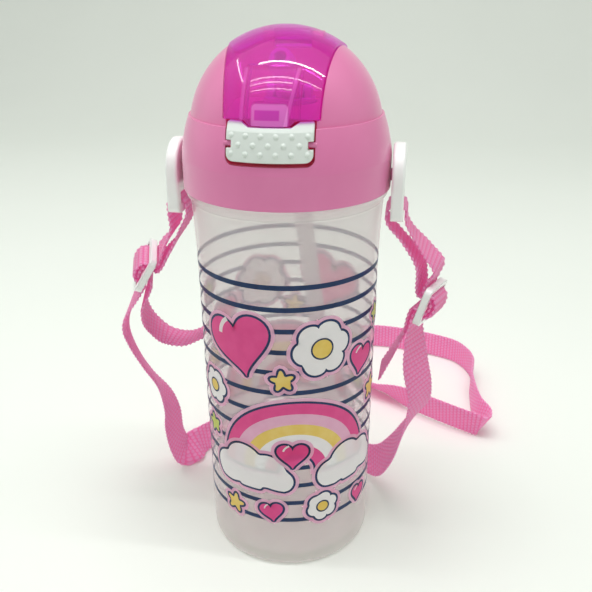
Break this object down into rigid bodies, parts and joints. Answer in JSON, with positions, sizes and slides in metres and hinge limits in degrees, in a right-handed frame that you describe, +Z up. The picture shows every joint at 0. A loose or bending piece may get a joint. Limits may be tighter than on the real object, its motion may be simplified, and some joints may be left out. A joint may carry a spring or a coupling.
{
  "type": "kids water bottle",
  "caption": "Frosted kids' drinking bottle with a domed screw lid, flip cover over a folding straw spout, rocker latch and webbing carry strap.",
  "frame": {"origin": "centre of the bottle's base, on the surface it stands on", "axes": "+Z up along the bottle's axis, -Y towards the latch, +X to the right seen from the latch side"},
  "size_m": [0.1653, 0.202, 0.2051],
  "materials": {
    "frosted": "frosted translucent",
    "lid_pink": "satin moulded",
    "cover_magenta": "polished translucent",
    "white_plastic": "moulded",
    "silicone": "soft translucent",
    "straw_clear": "translucent",
    "steel": "plain",
    "webbing": "ribbed weave"
  },
  "bodies": {
    "bottle": {"bottle": "frosted"},
    "seal": {"lid_seal": "silicone"},
    "lid": {"lid_shell": "lid_pink", "lid_insert": "white_plastic", "vent_valve": "silicone", "spout_seat": "silicone", "straw": "straw_clear", "hinge_pin": "steel"},
    "cover": {"flip_cover": "cover_magenta"},
    "spout": {"mouthpiece": "silicone"},
    "latch": {"latch_button": "white_plastic"},
    "hanger_left": {"hanger_left": "white_plastic", "carry_strap": "webbing", "adjuster_left": "white_plastic", "adjuster_right": "white_plastic"},
    "hanger_right": {"hanger_right": "white_plastic"}
  },
  "joints": [
    {"name": "lid_lift", "type": "slide", "parent": "bottle", "child": "seal", "axis": [0, 0, 1], "range_m": [0, 0.00401]},
    {"name": "lid_turn", "type": "hinge", "parent": "seal", "child": "lid", "pos_m": [0, 0, 0.1506], "axis": [0, 0, 1], "range_deg": [0, 360]},
    {"name": "cover_open", "type": "hinge", "parent": "lid", "child": "cover", "pos_m": [0, 0.019, 0.19835], "axis": [-1, 0, 0], "range_deg": [0, 120]},
    {"name": "mouthpiece_rise", "type": "hinge", "parent": "lid", "child": "spout", "pos_m": [0, 0.008, 0.182], "axis": [-1, 0, 0], "range_deg": [0, 50.5]},
    {"name": "latch_press", "type": "hinge", "parent": "lid", "child": "latch", "pos_m": [0, -0.03188, 0.1714], "axis": [1, 0, 0], "range_deg": [0, 5], "stiffness_Nm_per_rad": 0.05},
    {"name": "hanger_left_swing", "type": "hinge", "parent": "lid", "child": "hanger_left", "pos_m": [-0.0403, 0, 0.1548], "axis": [1, 0, 0], "range_deg": [0, 120]},
    {"name": "hanger_right_swing", "type": "hinge", "parent": "lid", "child": "hanger_right", "pos_m": [0.0403, 0, 0.1548], "axis": [1, 0, 0], "range_deg": [0, 120.5]}
  ],
  "couplings": [
    {"joint": "lid_lift", "follows": "lid_turn", "m_per_rad": 0.00063662},
    {"joint": "mouthpiece_rise", "follows": "cover_open", "ratio": 0.41667},
    {"joint": "hanger_right_swing", "follows": "hanger_left_swing", "ratio": 1}
  ]
}
